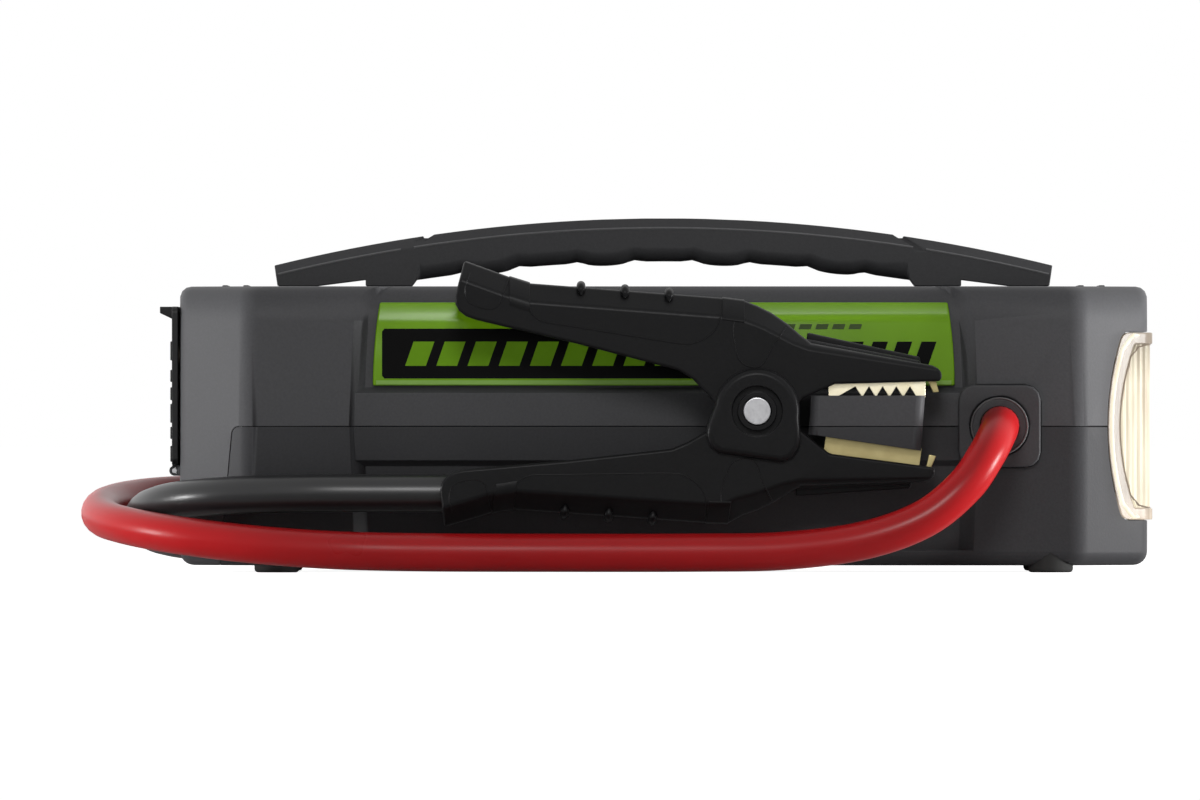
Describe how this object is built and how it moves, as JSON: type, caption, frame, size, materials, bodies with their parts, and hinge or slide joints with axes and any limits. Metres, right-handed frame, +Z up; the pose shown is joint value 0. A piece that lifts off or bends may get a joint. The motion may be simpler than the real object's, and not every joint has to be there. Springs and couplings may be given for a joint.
{
  "type": "jump starter pack",
  "caption": "Portable jump starter pack with a carrying handle, an end lamp, a hinged port cover and two heavy leads whose sprung clamps rest on side docks.",
  "frame": {"origin": "centre of the footprint, on the floor under the feet", "axes": "+X towards the lamp, -Y towards the front with the red lead's gland, +Z up"},
  "size_m": [0.4658, 0.2826, 0.1538],
  "materials": {
    "housing": "fine grained moulded plastic",
    "trim": "satin moulded plastic",
    "red_trim": "satin moulded plastic",
    "grip": "soft touch plastic",
    "rubber": "matt rubber",
    "label": "glossy green plate",
    "lens": "clear fluted plastic",
    "reflector": "plated",
    "board": "circuit board",
    "steel": "plain steel",
    "brass": "plated",
    "copper": "copper strip",
    "red_jacket": "smooth cable jacket",
    "black_jacket": "smooth cable jacket",
    "cell": "cell wrap",
    "module": "cast case"
  },
  "bodies": {
    "pack": {"upper_shell": "housing", "lower_shell": "housing", "foot_1": "rubber", "foot_2": "rubber", "foot_3": "rubber", "foot_4": "rubber", "front_grommet": "rubber", "rear_grommet": "rubber", "shell_screw_1": "steel", "shell_screw_2": "steel", "shell_screw_3": "steel", "shell_screw_4": "steel", "handle_screw_left": "steel", "handle_screw_right": "steel", "cover_hinge_pin": "steel", "usb_socket": "steel", "black_clamp_pivot_pin": "steel", "red_clamp_pivot_pin": "steel", "black_clamp_spring": "steel", "red_clamp_spring": "steel", "handle_bar": "grip", "front_label": "label", "rear_label": "label", "lamp_lens": "lens", "status_light": "lens", "lamp_reflector": "reflector", "led_board": "board", "control_board": "board", "port_panel": "trim", "charge_socket": "trim", "front_gland": "trim", "rear_gland": "trim", "black_clamp_lower_lever": "trim", "cell_tray": "trim", "red_clamp_lower_lever": "red_trim", "red_terminal": "brass", "black_terminal": "brass", "black_clamp_lower_jaw": "brass", "red_clamp_lower_jaw": "brass", "red_lead": "red_jacket", "black_lead": "black_jacket", "battery_cell_1": "cell", "battery_cell_2": "cell", "battery_cell_3": "cell", "battery_cell_4": "cell", "cell_link_1": "copper", "cell_link_2": "copper", "cell_link_3": "copper", "power_module": "module"},
    "black_clamp_upper": {"black_clamp_upper_lever": "trim", "black_clamp_upper_jaw": "brass"},
    "red_clamp_upper": {"red_clamp_upper_lever": "red_trim", "red_clamp_upper_jaw": "brass"},
    "port_cover": {"port_cover": "trim"},
    "power_button": {"power_button": "trim"},
    "lamp_button": {"lamp_button": "trim"}
  },
  "joints": [
    {"name": "black_clamp_squeeze", "type": "hinge", "parent": "pack", "child": "black_clamp_upper", "pos_m": [0.04365, -0.096, 0.0699], "axis": [0, -1, 0], "range_deg": [0, 24], "stiffness_Nm_per_rad": 6, "springref_deg": -22.92, "deforming": ["black_clamp_spring"]},
    {"name": "red_clamp_squeeze", "type": "hinge", "parent": "pack", "child": "red_clamp_upper", "pos_m": [0.04365, 0.096, 0.0699], "axis": [0, -1, 0], "range_deg": [0, 24], "stiffness_Nm_per_rad": 6, "springref_deg": -22.92, "deforming": ["red_clamp_spring"]},
    {"name": "port_cover_hinge", "type": "hinge", "parent": "pack", "child": "port_cover", "pos_m": [-0.20905, 0, 0.044], "axis": [0, -1, 0], "range_deg": [0, 85]},
    {"name": "power_button_press", "type": "slide", "parent": "pack", "child": "power_button", "axis": [1, 0, 0], "range_m": [0, 0.001], "stiffness_N_per_m": 500, "springref_m": -0.001},
    {"name": "lamp_button_press", "type": "slide", "parent": "pack", "child": "lamp_button", "axis": [1, 0, 0], "range_m": [0, 0.001], "stiffness_N_per_m": 500, "springref_m": -0.001}
  ]
}
